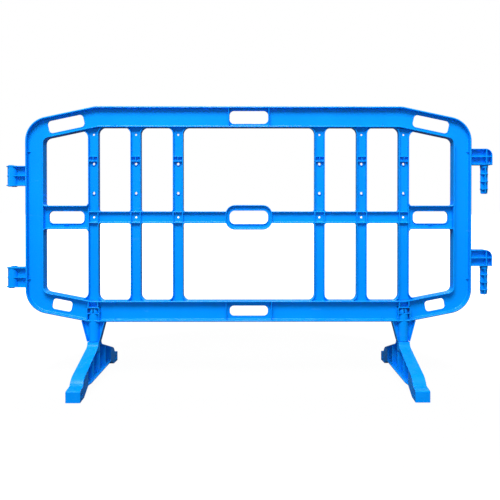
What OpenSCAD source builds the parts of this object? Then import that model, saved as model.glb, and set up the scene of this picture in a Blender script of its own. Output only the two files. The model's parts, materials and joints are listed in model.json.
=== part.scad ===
// Pedestrian barrier panel: a one-piece moulding of H-section members on two swivelling feet.
// X runs along the panel, Y through it and Z upwards, with the ground at Z = 0.
// The moulding is drawn member by member, and the members meet face to face.

/* [Frame] */
// Height of the top edge above the ground
panel_top = 1127; // [1080:1:1200]
// Width over the two stiles
panel_w = 1833; // [1780:1:1900]
// Height of the bottom rail's underside above the ground
ground_clear = 241; // [232:1:256]
// Depth of the frame, front to back
frame_d = 45; // [42:1:56]
// Height of the top and bottom rails
rail_h = 86; // [82:1:92]
// Width of each stile
stile_w = 74.5; // [60:0.5:85]
// Radius of the four outer corners
corner_r = 100; // [70:1:115]
// Radius of the end windows' outer corners
window_r = 25; // [10:1:30]
// Fall of the top rail's ends towards the stiles, in degrees
upper_slope_a = 12; // [8:0.5:14]
// Distance inwards from the outer bars' axis to the start of that fall
upper_slope_in = 10; // [4:1:14]
// Fall of the bottom rail's ends towards the stiles, in degrees
lower_slope_a = 11; // [8:0.5:14]
// Distance outwards from the outer bars' axis to the start of that fall
lower_slope_out = 14; // [8:1:18]
// Radius of the bend where a fall starts
slope_r = 80; // [20:1:100]
// Thickness of the mid-plane web
web_t = 4; // [3:0.5:6]
// Thickness of the flanges along every edge
flange_t = 4.5; // [3:0.5:6]
// Thickness of the small stiffening ribs
rib_t = 3; // [2:0.5:4]
// Length of the pointed stays between a flange and the web
stay_l = 16; // [10:1:20]
// Distance of the top rail's stays inwards from the bars' axes
stay_in = 16; // [10:1:26]
// Distance of the stiles' stays above the upper hook's underside and below the lower one's
stile_stay = 54; // [40:1:64]

/* [Upright bars] */
// Distance from a stile's inner edge to the outer bar's axis
end_bay = 202; // [190:1:215]
// Pitch of the bars on each side
bar_pitch = 174; // [165:1:180]
// Width of a bar
bar_w = 43; // [38:1:46]
// Depth of a bar and of the middle rail
bar_d = 28; // [22:1:40]
// Radius where a bar flares into a rail
bar_fillet = 20; // [10:1:28]
// Radius where a bar meets the middle rail
cross_fillet = 8; // [4:1:12]
// Diameter of the fixing holes
bolt_hole_d = 11; // [8:0.5:13]
// Diameter of the tie holes
tie_hole_d = 8; // [5:0.5:10]
// Tie hole's distance below the top rail
tie_drop = 29; // [24:1:36]
// Lower fixing hole's distance above the middle rail
bolt_rise = 75; // [60:1:90]
// Distance of the stiffening cell's floor above the upper fixing hole
cell_rise = 11; // [9:1:16]
// Clear height of the stiffening cell
cell_h = 20; // [12:1:30]

/* [Middle rail] */
// Distance of the middle rail's centre line below the middle of the window
middle_drop = 13; // [0:1:30]
// Height of the middle rail
middle_h = 49; // [44:1:54]
// Width of the centre grip
centre_grip_w = 193; // [185:1:220]
// Height of the centre grip
centre_grip_h = 102; // [90:1:116]
// Corner radius of the centre grip
centre_grip_r = 40; // [30:1:44]
// Height of the side grips
side_grip_h = 97; // [88:1:110]
// Width of the raised lip round a middle hand-hole
lip_w = 3; // [2:0.5:5]
// Depth of that lip, front to back
lip_d = 12; // [8:1:20]

/* [Hand-holes] */
// Width of the top hand-hole
top_hole_w = 160; // [140:1:170]
// Height of the top hand-hole
top_hole_h = 53; // [44:1:58]
// Corner radius of the top hand-hole
top_hole_r = 19; // [8:1:21]
// Gap from the top hand-hole to the rib at each end of it
top_rib_gap = 1; // [1:0.5:6]
// Width of the bottom hand-hole
bottom_hole_w = 158; // [140:1:170]
// Height of the bottom hand-hole
bottom_hole_h = 41.5; // [36:0.5:48]
// Corner radius of the bottom hand-hole
bottom_hole_r = 17; // [8:1:17]
// Gap from the bottom hand-hole to the rib at each end of it
bottom_rib_gap = 13; // [8:1:16]
// Width of the upper corners' hand-holes
upper_hole_w = 150; // [120:1:160]
// Height of the upper corners' hand-holes
upper_hole_h = 51; // [40:1:56]
// Corner radius of the upper corners' hand-holes
upper_hole_r = 16; // [8:1:19]
// Distance of those hand-holes along the fall
upper_hole_along = 136; // [128:1:144]
// Width of the lower corners' hand-holes
lower_hole_w = 81; // [60:1:95]
// Height of the lower corners' hand-holes
lower_hole_h = 44; // [36:1:50]
// Corner radius of the lower corners' hand-holes
lower_hole_r = 13; // [6:1:17]
// Distance of those hand-holes along the fall
lower_hole_along = 128; // [120:1:140]
// Width of the side grips' hand-holes
side_hole_w = 145; // [120:1:150]
// Height of the side grips' hand-holes
side_hole_h = 50; // [40:1:56]
// Corner radius of the side grips' hand-holes
side_hole_r = 17; // [8:1:19]
// Width of the centre grip's hand-hole
centre_hole_w = 159; // [140:1:162]
// Height of the centre grip's hand-hole
centre_hole_h = 55; // [44:1:60]
// Corner radius of the centre grip's hand-hole
centre_hole_r = 21; // [10:1:21]

/* [Links] */
// Distance of the link axis beyond the stile
link_reach = 59; // [52:1:66]
// Distance of the upper hook's underside below the top edge
upper_link_drop = 240; // [220:1:262]
// Distance of the lower hook's underside above the bottom edge
lower_link_rise = 229; // [215:1:250]
// Clear height between a hook and the socket it drops into
link_gap = 1; // [0.5:0.5:3]
// Outside diameter of a socket barrel
socket_od = 39.5; // [38:0.5:44]
// Bore of a socket barrel
socket_bore = 33; // [32.5:0.5:34]
// Height of a socket over its plates
socket_h = 82; // [70:1:88]
// Height of the collar above and below the plates
collar_h = 3.5; // [2:0.5:6]
// Thickness of the socket plates and hook walls
link_t = 4; // [3:0.5:5]
// Reach of a hook past the link axis
hook_overhang = 27; // [24:1:34]
// Height of a hook body
hook_h = 67; // [56:1:80]
// Lap of the socket plates past the barrel's end
plate_lap = 4.5; // [3:0.5:6]
// Lap of the socket plates past the barrel's sides
side_lap = 1.25; // [0.5:0.25:2]
// Radius of a hook's upper outer corner
hook_r = 28; // [10:1:30]
// Length of a hook pin
pin_l = 119; // [112:1:130]
// Diameter of the pin's guide discs
pin_d = 32; // [28:0.5:32]
// Height of the pin's root collar
pin_root_h = 12; // [10:1:16]
// Width of the cross-shaped core of the pin
pin_core_w = 28; // [20:0.5:28]
// Pitch of the guide discs
disc_pitch = 31; // [26:1:32]

/* [Foot posts] */
// Outside diameter of a post
post_od = 45; // [43:0.5:45]
// Bore of a post
post_bore = 37; // [34:0.5:38]
// Width of the gussets under the bottom rail
gusset_top_w = 97; // [80:1:112]
// Width of the gussets at the bottom of the post
gusset_foot_w = 51; // [48:1:60]
// Depth of the gussets' edge flanges
gusset_d = 26; // [16:1:34]
// Height of the post's upper rim above the bottom rail's underside
post_rim_h = 36; // [30:1:40]
// Clear height of the snap window above that rim
snap_window_h = 21; // [19:1:24]

/* [Feet] */
// Length of a foot, front to back
foot_l = 550; // [500:1:600]
// Height of the foot's neck, where the post rests
neck_h = 159; // [150:1:166]
// Clearance between moving faces
play = 0.4; // [0.3:0.1:0.6]
// Width of the sloping strap at the neck
strap_w = 44; // [42:1:50]
// Width of the strap at its lower end
strap_low_w = 50; // [46:1:54]
// Distance from the foot's middle to its outer ribs
foot_rib_y = 88; // [60:1:120]
// Width of the lower flange
base_w = 58; // [52:1:64]
// Width of the end blocks
block_w = 55; // [50:1:62]
// Height of an end block's face
block_h = 42; // [34:1:50]
// Length of an end block on the ground
block_l = 55; // [44:1:70]
// Height of the arch between the end blocks
arch_h = 27; // [18:1:34]
// Drop of the round column below the neck
column_drop = 51; // [40:1:70]
// Thickness of the foot's walls and ribs
foot_t = 5; // [4:0.5:6]
// Height of the strap's lower end
strap_low_h = 73; // [64:1:80]
// Overhang of the snap lip over the post's bore
snap_lip = 1.4; // [0.8:0.1:1.8]
// Width of the slot between the snap prongs
snap_slot = 5; // [3:0.5:8]

/* [Hidden] */
$fn = 64;
blue = [0.0, 0.46, 0.92];

// Flats in each rounded corner of an outline
arc_steps = 8;
// How far a cut runs past the face that it opens
past = 1;

half_w = panel_w / 2;
rail_in_low = ground_clear + rail_h;
rail_in_top = panel_top - rail_h;
stile_in_x = half_w - stile_w;
post_x = stile_in_x - end_bay;
bar_inner_x = post_x - 2 * bar_pitch;
bar_x = [for (side = [-1, 1], k = [0:2]) side * (bar_inner_x + bar_pitch * (side < 0 ? 2 - k : k))];
bar_out_x = post_x + bar_w / 2;
middle_z = (rail_in_top + rail_in_low) / 2 - middle_drop;
middle_low = middle_z - middle_h / 2;
middle_top = middle_z + middle_h / 2;

// Heights of the round holes in the upper bars
tie_z = rail_in_top - tie_drop;
low_bolt_z = middle_top + bolt_rise;
high_bolt_z = (low_bolt_z + tie_z) / 2;

// The frame's outline, counter-clockwise from the bottom rail's left bend
upper_slope_x = post_x - upper_slope_in;
lower_slope_x = post_x + lower_slope_out;
upper_fall = (half_w - upper_slope_x) * tan(upper_slope_a);
lower_fall = (half_w - lower_slope_x) * tan(lower_slope_a);
frame_outer = [
  [-lower_slope_x, ground_clear], [lower_slope_x, ground_clear],
  [half_w, ground_clear + lower_fall], [half_w, panel_top - upper_fall],
  [upper_slope_x, panel_top], [-upper_slope_x, panel_top],
  [-half_w, panel_top - upper_fall], [-half_w, ground_clear + lower_fall]
];
band = [rail_h, rail_h, stile_w, rail_h, rail_h, rail_h, stile_w, rail_h];
frame_inner = inset(frame_outer, band);
outer_radii = [slope_r, slope_r, corner_r, corner_r, slope_r, slope_r, corner_r, corner_r];
inner_radii = [0, 0, window_r, window_r, 0, 0, window_r, window_r];
upper_bend = frame_inner[4];
lower_bend = frame_inner[1];

// Where the frame's members part from each other
grip_margin = bottom_rib_gap + 2 * rib_t;
top_grip_x = top_hole_w / 2 + grip_margin;
bottom_grip_x = bottom_hole_w / 2 + grip_margin;
upper_corner_x = post_x + upper_slope_in;
upper_corner_z = frame_inner[3].y - window_r;
lower_corner_z = frame_inner[2].y + window_r;
post_box_w = post_od + 2 * link_t;

// The link at each end, and the shift that centres the whole length on the origin
upper_link_z = panel_top - upper_link_drop;
lower_link_z = ground_clear + lower_link_rise;
link_x = half_w + link_reach;
link_d = socket_od + 2 * side_lap;
plate_r = socket_od / 2 + plate_lap;
socket_tip = link_reach + plate_r;
hook_tip = link_reach + hook_overhang;
panel_shift = (socket_tip - hook_tip) / 2;

// The post, its window and the foot's stem
post_low = neck_h + play;
post_rim = ground_clear + post_rim_h;
stem_r = post_bore / 2 - play;
snap_r = post_bore / 2 + snap_lip;

// Unit vector along v
function unit(v) = v / norm(v);

// The points of v in the opposite order
function reverse(v) = [for (i = [len(v) - 1:-1:0]) v[i]];

// An outline whose edge i is moved inwards by depths[i]
function inset(points, depths) =
  let (n = len(points))
  [
    for (i = [0:n - 1])
      let (
        before = (i + n - 1) % n,
        u = unit(points[i] - points[before]),
        v = unit(points[(i + 1) % n] - points[i]),
        p = points[i] + depths[before] * [-u.y, u.x],
        q = points[i] + depths[i] * [-v.y, v.x]
      )
      p + u * cross(q - p, v) / cross(u, v)
  ];

// An outline moved inwards by the same depth on every edge
function inset_all(points, depth) = inset(points, [for (p = points) depth]);

// Each radius made larger by grow, where the corner is round at all
function widen(radii, grow) = [for (r = radii) r > 0 ? r + grow : 0];

// The arc of radius r that rounds the corner at b, between a and c
function turn(a, b, c, r) =
  r <= 0 ? [b] :
  let (
    u = unit(a - b),
    v = unit(c - b),
    half = acos(u * v) / 2,
    centre = b + unit(u + v) * r / sin(half),
    start = b + u * r / tan(half) - centre,
    from = atan2(start.y, start.x),
    sweep = sign(cross(b - a, c - b)) * (180 - 2 * half)
  )
  [
    for (k = [0:arc_steps])
      let (angle = from + sweep * k / arc_steps)
      centre + r * [cos(angle), sin(angle)]
  ];

// An outline with its corners rounded
function rounded(points, radii) =
  let (n = len(points))
  [
    for (i = [0:n - 1])
      each turn(points[(i + n - 1) % n], points[i], points[(i + 1) % n], radii[i])
  ];

// A rectangle round the origin
function box_points(w, h) = [[-w, -h] / 2, [w, -h] / 2, [w, h] / 2, [-w, h] / 2];

// A flare from a bar's edge to a rail, as an arc that ends past the rail's face.
// d is the side that the edge faces and up the end, so one rule serves all four corners.
// The rail's face passes through the point at and falls away by the angle a.
function flare(edge, d, up, r, grow, at, a) =
  let (
    centre_p = d * edge + r,
    centre_q = up * at.y - (centre_p - d * at.x) * tan(a) - r / cos(a),
    reach = r + grow,
    arc = [
      for (k = [0:reach > 0 ? arc_steps : 0])
        let (angle = 180 - (90 + a) * k / arc_steps)
        [centre_p, centre_q] + reach * [cos(angle), sin(angle)]
    ],
    tail = arc[len(arc) - 1] + flange_t * [sin(a), cos(a)]
  )
  [for (p = concat(arc, [tail])) [d * p.x, up * p.y]];

// The fall of the rail at an end: 1 is the top rail and -1 the bottom rail
function slope_of(end) = end > 0 ? upper_slope_a : lower_slope_a;

// True on the side of an outer bar that faces a stile
function faces_stile(i, d) = abs(bar_x[i]) > post_x - bar_pitch / 2 && d == sign(bar_x[i]);

// The flare at a bar's rail end, on the side d
function rail_flare(i, d, up, grow) =
  let (bend = up > 0 ? upper_bend : lower_bend)
  flare(
    bar_x[i] + d * bar_w / 2, d, up, bar_fillet, grow, [d * bend.x, bend.y],
    faces_stile(i, d) ? slope_of(up) : 0
  );

// The flare at a bar's middle end, which the side grip takes over on the stile's side
function cross_flare(i, d, up, grow) =
  flare(
    bar_x[i] + d * bar_w / 2, d, -up, faces_stile(i, d) ? 0 : cross_fillet, grow,
    [0, up > 0 ? middle_top : middle_low], 0
  );

// A bar's outline, or with grow the outline of the channel between its flanges
function bar_outline(i, up, grow) =
  concat(
    reverse(cross_flare(i, up, up, grow)), rail_flare(i, up, up, grow),
    reverse(rail_flare(i, -up, up, grow)), cross_flare(i, -up, up, grow)
  );

// A fillet in the corner at c, opening towards dx and dz
function corner_fillet(c, dx, dz, r) =
  concat(
    [c],
    [
      for (k = [0:arc_steps])
        let (angle = 90 * k / arc_steps)
        c + r * [dx * (1 - sin(angle)), dz * (1 - cos(angle))]
    ]
  );

// A rectangle given by its limits
module span(x0, x1, z0, z1) {
  translate([x0, z0])
    square([x1 - x0, z1 - z0]);
}

// Raises a drawing of the panel's front view to a solid of the given depth, centred on the mid-plane
module raised(depth) {
  translate([panel_shift, 0, 0])
    rotate([90, 0, 0])
      linear_extrude(depth, center = true)
        children();
}

// An H-section member: the first child is its web and the second its flanges
module member(depth) {
  raised(web_t)
    children(0);
  raised(depth)
    children(1);
}

// A hand-hole with round corners
module hand_hole(w, h, r) {
  polygon(rounded(box_points(w, h), [r, r, r, r]));
}

// Places a hand-hole on the middle of a sloping rail end
module on_slope(side, end, along) {
  translate([side * (end > 0 ? upper_slope_x : lower_slope_x), end > 0 ? panel_top : ground_clear])
    rotate(-side * end * slope_of(end))
      translate([side * along, -end * rail_h / 2])
        children();
}

// The frame's outline with its bends and corners rounded
module frame_outline() {
  polygon(rounded(frame_outer, outer_radii));
}

// The whole frame in front view
module frame_web() {
  difference() {
    frame_outline();
    polygon(rounded(frame_inner, inner_radii));
  }
}

// The flanges along the frame's outer and inner edges
module frame_flanges() {
  difference() {
    frame_outline();
    polygon(rounded(inset_all(frame_outer, flange_t), widen(outer_radii, -flange_t)));
  }
  difference() {
    polygon(rounded(inset_all(frame_inner, -flange_t), widen(inner_radii, flange_t)));
    polygon(rounded(frame_inner, inner_radii));
  }
}

// The stretch of the frame within the given limits, less the hand-holes given as children
module frame_part(x0, x1, z0, z1) {
  color(blue)
    member(frame_d) {
      difference() {
        intersection() {
          frame_web();
          span(x0, x1, z0, z1);
        }
        children();
      }
      intersection() {
        frame_flanges();
        span(x0, x1, z0, z1);
      }
    }
}

// A pointed stay that runs from the middle of a flange at [x, z] to the web, in the direction a
module stay(x, z, a) {
  color(blue)
    translate([panel_shift + x, 0, z])
      rotate([0, -a, 0])
        linear_extrude(rib_t, center = true)
          polygon([[0, -frame_d / 2], [stay_l, 0], [0, frame_d / 2]]);
}

// The stays of the top rail on one side: two under its top flange and one on its lower flange
module top_stays(side) {
  for (x = [post_x, post_x - bar_pitch])
    stay(side * (x - stay_in), panel_top - flange_t / 2, -90);
  stay(side * (post_x - bar_pitch / 2), rail_in_top + flange_t / 2, 90);
}

// The stays of the bottom rail on one side, halfway between the outer bars
module bottom_stays(side) {
  stay(side * (post_x - bar_pitch / 2), rail_in_low - flange_t / 2, -90);
  stay(side * (post_x - bar_pitch / 2), ground_clear + flange_t / 2, 90);
}

// The stays on a stile's outer flange
module stile_stays(side) {
  for (z = [upper_link_z + stile_stay, lower_link_z - stile_stay])
    stay(side * (half_w - flange_t / 2), z, side > 0 ? 180 : 0);
}

// The stretch of a rail round its hand-hole, with a rib at each end of the hole
module rail_grip(x, z0, z1, hole_w, hole_h, hole_r, rib_gap) {
  frame_part(-x, x, z0, z1)
    translate([0, (z0 + z1) / 2])
      hand_hole(hole_w, hole_h, hole_r);
  color(blue)
    raised(frame_d)
      for (side = [-1, 1])
        translate([side * (hole_w / 2 + rib_gap + rib_t / 2) - rib_t / 2, z0])
          square([rib_t, z1 - z0]);
}

module top_left_rail() {
  frame_part(-upper_corner_x, -top_grip_x, rail_in_top - rail_h, panel_top);
  top_stays(-1);
}

module top_grip() {
  rail_grip(top_grip_x, rail_in_top, panel_top, top_hole_w, top_hole_h, top_hole_r, top_rib_gap);
}

module top_right_rail() {
  frame_part(top_grip_x, upper_corner_x, rail_in_top - rail_h, panel_top);
  top_stays(1);
}

module bottom_left_rail() {
  frame_part(-post_x + post_box_w / 2, -bottom_grip_x, ground_clear, rail_in_low);
  bottom_stays(-1);
}

module bottom_grip() {
  rail_grip(
    bottom_grip_x, ground_clear, rail_in_low,
    bottom_hole_w, bottom_hole_h, bottom_hole_r, bottom_rib_gap
  );
}

module bottom_right_rail() {
  frame_part(bottom_grip_x, post_x - post_box_w / 2, ground_clear, rail_in_low);
  bottom_stays(1);
}

module upper_left_corner() {
  frame_part(-half_w, -upper_corner_x, upper_corner_z, panel_top)
    on_slope(-1, 1, upper_hole_along)
      hand_hole(upper_hole_w, upper_hole_h, upper_hole_r);
}

module upper_right_corner() {
  frame_part(upper_corner_x, half_w, upper_corner_z, panel_top)
    on_slope(1, 1, upper_hole_along)
      hand_hole(upper_hole_w, upper_hole_h, upper_hole_r);
}

module lower_left_corner() {
  frame_part(-half_w, -post_x - post_box_w / 2, ground_clear, lower_corner_z)
    on_slope(-1, -1, lower_hole_along)
      hand_hole(lower_hole_w, lower_hole_h, lower_hole_r);
}

module lower_right_corner() {
  frame_part(post_x + post_box_w / 2, half_w, ground_clear, lower_corner_z)
    on_slope(1, -1, lower_hole_along)
      hand_hole(lower_hole_w, lower_hole_h, lower_hole_r);
}

module left_stile() {
  frame_part(-half_w, -stile_in_x, lower_corner_z, upper_corner_z);
  stile_stays(-1);
}

module right_stile() {
  frame_part(stile_in_x, half_w, lower_corner_z, upper_corner_z);
  stile_stays(1);
}

// The half of the middle rail on one side, with the bars' flanges crossing it
module middle_rail(side) {
  bars = [for (x = bar_x) if (sign(x) == side) x];
  color(blue)
    member(bar_d) {
      difference() {
        span(min(0, side * bar_out_x), max(0, side * bar_out_x), middle_low, middle_top);
        centre_grip_outline();
        for (x = bars)
          translate([x, middle_z])
            circle(d = tie_hole_d);
      }
      difference() {
        union() {
          for (z = [middle_low, middle_top - flange_t])
            span(min(0, side * bar_out_x), max(0, side * bar_out_x), z, z + flange_t);
          for (x = bars, edge = [x - bar_w / 2, x + bar_w / 2 - flange_t])
            span(edge, edge + flange_t, middle_low, middle_top);
        }
        centre_grip_outline();
      }
    }
}

module centre_grip_outline() {
  translate([0, middle_z])
    hand_hole(centre_grip_w, centre_grip_h, centre_grip_r);
}

module left_middle_rail() {
  middle_rail(-1);
}

module right_middle_rail() {
  middle_rail(1);
}

// The lip round a hand-hole in the middle of the panel
module hole_lip(w, h, r) {
  difference() {
    hand_hole(w + 2 * lip_w, h + 2 * lip_w, r + lip_w);
    hand_hole(w, h, r);
  }
}

module centre_grip() {
  rim = 2 * flange_t;
  color(blue) {
    member(bar_d) {
      difference() {
        centre_grip_outline();
        translate([0, middle_z])
          hand_hole(centre_hole_w, centre_hole_h, centre_hole_r);
      }
      difference() {
        centre_grip_outline();
        translate([0, middle_z])
          hand_hole(centre_grip_w - rim, centre_grip_h - rim, centre_grip_r - flange_t);
      }
    }
    raised(lip_d)
      translate([0, middle_z])
        hole_lip(centre_hole_w, centre_hole_h, centre_hole_r);
  }
}

// The grip between a stile and the outer bar beside it
module side_grip(side) {
  x0 = min(side * bar_out_x, side * stile_in_x);
  x1 = max(side * bar_out_x, side * stile_in_x);
  z0 = middle_z - side_grip_h / 2;
  z1 = middle_z + side_grip_h / 2;
  color(blue) {
    member(frame_d) {
      difference() {
        span(x0, x1, z0, z1);
        translate([(x0 + x1) / 2, middle_z])
          hand_hole(side_hole_w, side_hole_h, side_hole_r);
      }
      union() {
        span(x0, x1, z0, z0 + flange_t);
        span(x0, x1, z1 - flange_t, z1);
        for (corner = [[x0, z1, 1, 1], [x1, z1, -1, 1], [x0, z0, 1, -1], [x1, z0, -1, -1]])
          polygon(corner_fillet([corner[0], corner[1]], corner[2], corner[3], cross_fillet));
      }
    }
    raised(lip_d)
      translate([(x0 + x1) / 2, middle_z])
        hole_lip(side_hole_w, side_hole_h, side_hole_r);
  }
}

module left_grip() {
  side_grip(-1);
}

module right_grip() {
  side_grip(1);
}

// The part of bar i above (up = 1) or below (up = -1) the middle rail, in front view
module bar_plate(i, up) {
  intersection() {
    polygon(bar_outline(i, up, 0));
    polygon(frame_inner);
    span(
      -half_w, half_w,
      up > 0 ? middle_top : ground_clear,
      up > 0 ? panel_top : middle_low
    );
  }
}

module bar(i, up) {
  cell_floor = high_bolt_z + cell_rise;
  cell_top = cell_floor + rib_t + cell_h;
  color(blue)
    member(bar_d) {
      difference() {
        bar_plate(i, up);
        if (up > 0) {
          translate([bar_x[i], tie_z])
            circle(d = tie_hole_d);
          for (z = [low_bolt_z, high_bolt_z])
            translate([bar_x[i], z])
              circle(d = bolt_hole_d);
        }
      }
      union() {
        difference() {
          bar_plate(i, up);
          polygon(bar_outline(i, up, flange_t));
        }
        if (up > 0) {
          for (z = [cell_floor, cell_top])
            span(bar_x[i] - bar_w / 2, bar_x[i] + bar_w / 2, z, z + rib_t);
          span(bar_x[i] - rib_t / 2, bar_x[i] + rib_t / 2, cell_floor, cell_top);
        }
      }
    }
}

// A plate from the left stile that ends round the link axis with radius r, flattened to a depth
module socket_plate(z, r, depth) {
  translate([-link_x, 0, z])
    linear_extrude(link_t)
      intersection() {
        union() {
          circle(r = r);
          translate([0, -depth / 2])
            square([link_reach, depth]);
        }
        translate([-r, -depth / 2])
          square([link_reach + r, depth]);
      }
}

// A socket whose collar stands just below the hook that drops into it
module socket(link_z) {
  top = link_z - link_gap - collar_h;
  low = top - socket_h;
  middle_r = (plate_r + socket_od / 2) / 2;
  middle_d = (socket_bore + socket_od) / 2;
  color(blue)
    translate([panel_shift, 0, 0])
      difference() {
        union() {
          translate([-link_x, 0, low])
            cylinder(h = socket_h, d = socket_od);
          translate([-link_x, 0, top])
            cylinder(h = collar_h, d1 = socket_od, d2 = socket_bore + link_t);
          translate([-link_x, 0, low - collar_h])
            cylinder(h = collar_h, d1 = socket_bore + link_t, d2 = socket_od);
          socket_plate(low, plate_r, link_d);
          socket_plate((low + top - link_t) / 2, middle_r, middle_d);
          socket_plate(top - link_t, plate_r, link_d);
          translate([-link_x, -web_t / 2, low])
            cube([link_reach, web_t, socket_h]);
        }
        translate([-link_x, 0, low - collar_h - past])
          cylinder(h = socket_h + 2 * (collar_h + past), d = socket_bore);
      }
}

module upper_socket() {
  socket(upper_link_z);
}

module lower_socket() {
  socket(lower_link_z);
}

// A hook body: a walled arm with a rib on the pin's axis and one at half height
module hook(link_z) {
  rib_z = link_z + (hook_h - link_t) / 2;
  outline = [
    [half_w, link_z], [half_w + hook_tip, link_z],
    [half_w + hook_tip, link_z + hook_h], [half_w, link_z + hook_h]
  ];
  radii = [0, 0, hook_r, 0];
  pocket = inset(outline, [link_t, link_t, link_t, 0]);
  color(blue)
    member(link_d) {
      polygon(rounded(outline, radii));
      union() {
        difference() {
          polygon(rounded(outline, radii));
          polygon(rounded(pocket, widen(radii, -link_t)));
        }
        span(half_w, half_w + hook_tip - link_t, rib_z, rib_z + link_t);
        span(link_x - link_t / 2, link_x + link_t / 2, link_z, link_z + hook_h - link_t);
      }
    }
}

module upper_hook() {
  hook(upper_link_z);
}

module lower_hook() {
  hook(lower_link_z);
}

// A hook's pin: a root collar and guide discs on a cross-shaped core with a bevelled tip
module hook_pin(link_z) {
  bevel = link_t;
  blade = [
    [-pin_core_w / 2 + bevel, -pin_l], [pin_core_w / 2 - bevel, -pin_l],
    [pin_core_w / 2, -pin_l + bevel], [pin_core_w / 2, 0],
    [-pin_core_w / 2, 0], [-pin_core_w / 2, -pin_l + bevel]
  ];
  color(blue)
    translate([panel_shift + link_x, 0, link_z]) {
      for (angle = [0, 90])
        rotate([90, 0, angle])
          linear_extrude(link_t, center = true)
            polygon(blade);
      translate([0, 0, -pin_root_h])
        cylinder(h = pin_root_h, d = pin_d);
      for (k = [1:3])
        translate([0, 0, -2 * link_t - k * disc_pitch])
          cylinder(h = link_t, d = pin_d);
    }
}

module upper_hook_pin() {
  hook_pin(upper_link_z);
}

module lower_hook_pin() {
  hook_pin(lower_link_z);
}

// The gussets beside a post, below the bottom rail
module gussets(x) {
  difference() {
    polygon(gusset_points(x));
    frame_outline();
  }
}

function gusset_points(x) = [
  [x - gusset_foot_w / 2, post_low], [x + gusset_foot_w / 2, post_low],
  [x + gusset_top_w / 2, ground_clear], [x + gusset_top_w / 2, ground_clear + rail_h / 2],
  [x - gusset_top_w / 2, ground_clear + rail_h / 2], [x - gusset_top_w / 2, ground_clear]
];

// A foot post: a bored tube through the bottom rail, boxed in, with a window over its rim
module foot_post(side) {
  x = side * post_x;
  window_top = post_rim + snap_window_h;
  color(blue)
    difference() {
      union() {
        member(frame_d) {
          difference() {
            intersection() {
              frame_web();
              span(x - post_box_w / 2, x + post_box_w / 2, ground_clear, panel_top / 2);
            }
            span(x - post_od / 2, x + post_od / 2, post_rim, window_top);
          }
          intersection() {
            frame_web();
            union() {
              intersection() {
                frame_flanges();
                span(x - post_box_w / 2, x + post_box_w / 2, ground_clear, panel_top / 2);
              }
              for (edge = [x - post_box_w / 2, x + post_od / 2])
                span(edge, edge + link_t, ground_clear, window_top);
              for (edge = [x - bar_w / 2, x + bar_w / 2 - flange_t])
                span(edge, edge + flange_t, window_top, panel_top / 2);
              span(x - post_box_w / 2, x + post_box_w / 2, window_top, window_top + rib_t);
            }
          }
        }
        member(gusset_d) {
          gussets(x);
          difference() {
            gussets(x);
            polygon(inset(gusset_points(x), [0, link_t, 0, 0, 0, link_t]));
          }
        }
        translate([panel_shift + x, 0, post_low])
          cylinder(h = post_rim - post_low, d = post_od);
      }
      translate([panel_shift + x, 0, post_low - past])
        cylinder(h = post_rim - post_low + 2 * past, d = post_bore);
    }
}

module left_post() {
  foot_post(-1);
}

module right_post() {
  foot_post(1);
}

// The foot's side view, counter-clockwise from the arch's rear end
foot_half = foot_l / 2;
neck_half = strap_w / 2;
arch_half = foot_half - block_l - 2 * arch_h;
strap_end = foot_half - block_h;
shoulder_h = neck_h - strap_w / 2;
foot_side = [
  [-arch_half, arch_h], [arch_half, arch_h],
  [foot_half - block_l, 0], [foot_half, 0], [foot_half, block_h],
  [strap_end + block_h / 2, block_h + foot_t], [strap_end, strap_low_h],
  [neck_half + foot_t, shoulder_h], [neck_half, neck_h],
  [-neck_half, neck_h], [-neck_half - foot_t, shoulder_h],
  [-strap_end, strap_low_h], [-strap_end - block_h / 2, block_h + foot_t],
  [-foot_half, block_h], [-foot_half, 0], [-foot_half + block_l, 0]
];
foot_radii = [
  0, 0, 0, foot_t, foot_t, 2 * foot_t, 4 * foot_t, 4 * foot_t, foot_t,
  foot_t, 4 * foot_t, 4 * foot_t, 2 * foot_t, foot_t, foot_t, 0
];

// The foot's inner outline, one wall in from its side view
foot_hollow = inset_all(foot_side, foot_t);

// The foot's plan: the strap widens from the neck to its lower end and on to the end blocks
foot_edge = [
  [strap_w / 2, neck_half], [strap_low_w / 2, strap_end],
  [block_w / 2, strap_end + block_h / 2], [block_w / 2, foot_half + past]
];
foot_plan = concat(
  foot_edge, reverse([for (p = foot_edge) [-p[0], p[1]]]),
  [for (p = foot_edge) -p], reverse([for (p = foot_edge) [p[0], -p[1]]])
);

// Raises a drawing of the foot's side view to a solid of the given width
module across(width) {
  rotate([90, 0, 90])
    linear_extrude(width, center = true)
      children();
}

// The strap over the top, the flange under the arch, and the ribs and solid ends between them
module foot_leg() {
  across(foot_t)
    polygon(rounded(foot_side, foot_radii));
  across(base_w)
    intersection() {
      polygon(rounded(foot_side, foot_radii));
      span(-arch_half, arch_half, arch_h, arch_h + foot_t);
    }
  intersection() {
    translate([0, 0, -past])
      linear_extrude(neck_h + 2 * past)
        polygon(foot_plan);
    union() {
      across(base_w)
        difference() {
          polygon(rounded(foot_side, foot_radii));
          polygon(foot_hollow);
          span(-arch_half, arch_half, 0, arch_h);
        }
      across(base_w)
        intersection() {
          polygon(rounded(foot_side, foot_radii));
          union() {
            for (y = [-foot_rib_y, 0, foot_rib_y])
              span(y - foot_t / 2, y + foot_t / 2, 0, neck_h);
            span(-foot_half, -arch_half, 0, neck_h);
            span(arch_half, foot_half, 0, neck_h);
          }
        }
    }
  }
}

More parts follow.
